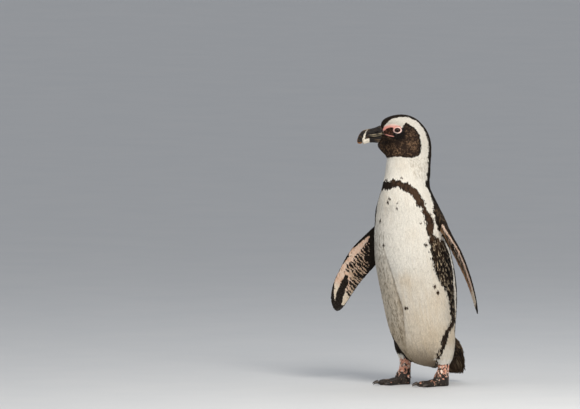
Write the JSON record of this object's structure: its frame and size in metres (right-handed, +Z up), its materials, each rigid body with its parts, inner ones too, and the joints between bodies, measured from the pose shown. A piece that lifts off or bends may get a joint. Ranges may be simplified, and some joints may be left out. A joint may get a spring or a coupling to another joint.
{
  "type": "penguin figure",
  "caption": "Life-size standing African penguin, flippers held out from the body and head turned to its right, as a still animal model.",
  "frame": {"origin": "on the floor, under the middle of the bird's outline", "axes": "+Z up, the chest faces -Y and the bird's left side is +X; the head is turned to the bird's right"},
  "size_m": [0.4112, 0.236, 0.599],
  "materials": {
    "plumage_white": "short overlapping white feathers, satin",
    "plumage_dark": "short overlapping black-brown feathers, satin",
    "bare_skin": "pink skin mottled with black, fine scales",
    "bill": "black horn with a pale band, semi-gloss",
    "claw": "black horn, semi-gloss",
    "eye": "wet and glossy, dark brown iris"
  },
  "bodies": {
    "root": {"head": "plumage_dark", "neck": "plumage_white", "trunk": "plumage_white", "tail": "plumage_dark", "flipper_left": "plumage_dark", "flipper_right": "plumage_dark", "thigh_left": "plumage_white", "thigh_right": "plumage_white", "leg_left": "bare_skin", "leg_right": "bare_skin", "foot_left": "bare_skin", "foot_right": "bare_skin", "eye_left": "eye", "eye_right": "eye", "bill_upper": "bill", "bill_lower": "bill", "claw_left_inner": "claw", "claw_left_middle": "claw", "claw_left_outer": "claw", "claw_left_hind": "claw", "claw_right_inner": "claw", "claw_right_middle": "claw", "claw_right_outer": "claw", "claw_right_hind": "claw"}
  },
  "joints": []
}
